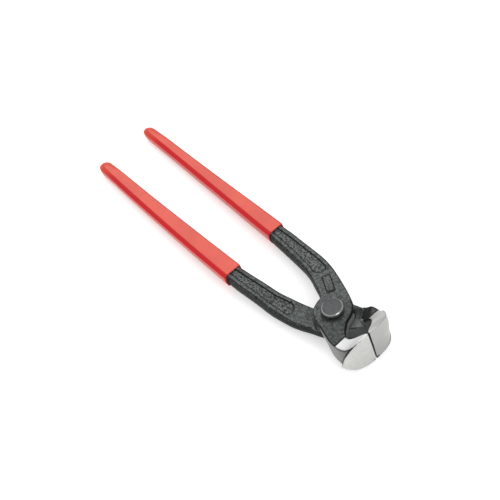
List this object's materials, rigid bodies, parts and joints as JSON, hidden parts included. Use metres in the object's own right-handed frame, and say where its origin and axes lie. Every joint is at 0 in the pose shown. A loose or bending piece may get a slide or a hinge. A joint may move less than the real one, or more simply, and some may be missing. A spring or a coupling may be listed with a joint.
{
  "type": "ear clamp pliers",
  "caption": "Ear clamp pliers with slim dipped handles, a riveted lap joint and wide flat-ended jaws that press the ear of a hose clamp together.",
  "frame": {"origin": "on the plane the jaws rest on, under the middle of the closed tool", "axes": "+X from the handles to the jaws, +Z along the joint rivet towards its proud head, +Y towards the handle of the upper lever"},
  "size_m": [0.217, 0.0428, 0.0224],
  "materials": {
    "blacked_steel": "black drop-forged steel with ground jaw faces",
    "rivet_steel": "black, with a rubbed edge",
    "red_vinyl": "dipped, semi-gloss red"
  },
  "bodies": {
    "upper_half": {"upper_lever": "blacked_steel", "pivot_rivet": "rivet_steel", "upper_grip": "red_vinyl"},
    "lower_half": {"lower_lever": "blacked_steel", "lower_grip": "red_vinyl"}
  },
  "joints": [
    {"name": "lap_pivot", "type": "hinge", "parent": "upper_half", "child": "lower_half", "pos_m": [0.0789, 0, 0.0112], "axis": [0, 0, 1], "range_deg": [0, 28]}
  ]
}
